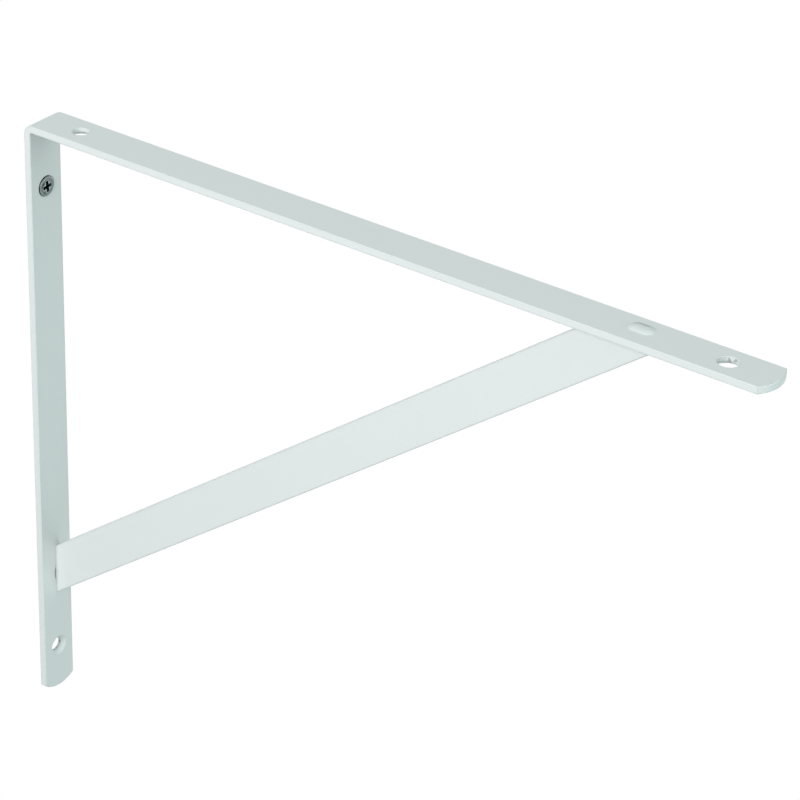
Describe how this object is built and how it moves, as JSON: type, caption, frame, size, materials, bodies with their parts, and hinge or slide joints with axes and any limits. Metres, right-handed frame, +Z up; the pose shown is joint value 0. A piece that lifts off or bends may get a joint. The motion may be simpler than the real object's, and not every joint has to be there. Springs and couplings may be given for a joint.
{
  "type": "shelf bracket",
  "caption": "White coated steel shelf bracket: flat bar bent to a square corner, a diagonal brace tenoned into both arms, screw holes and a wall screw.",
  "frame": {"origin": "where the upper wall screw's axis meets the wall plane", "axes": "+X out from the wall along the shelf arm, +Z up towards the shelf, Y across the bar"},
  "size_m": [0.3826, 0.0202, 0.3055],
  "materials": {
    "white_coat": "satin white powder coat with a faint orange peel",
    "screw_steel": "zinc-plated steel, slightly dulled"
  },
  "bodies": {
    "root": {"angle_bar": "white_coat", "brace": "white_coat", "wall_screw": "screw_steel"}
  },
  "joints": []
}
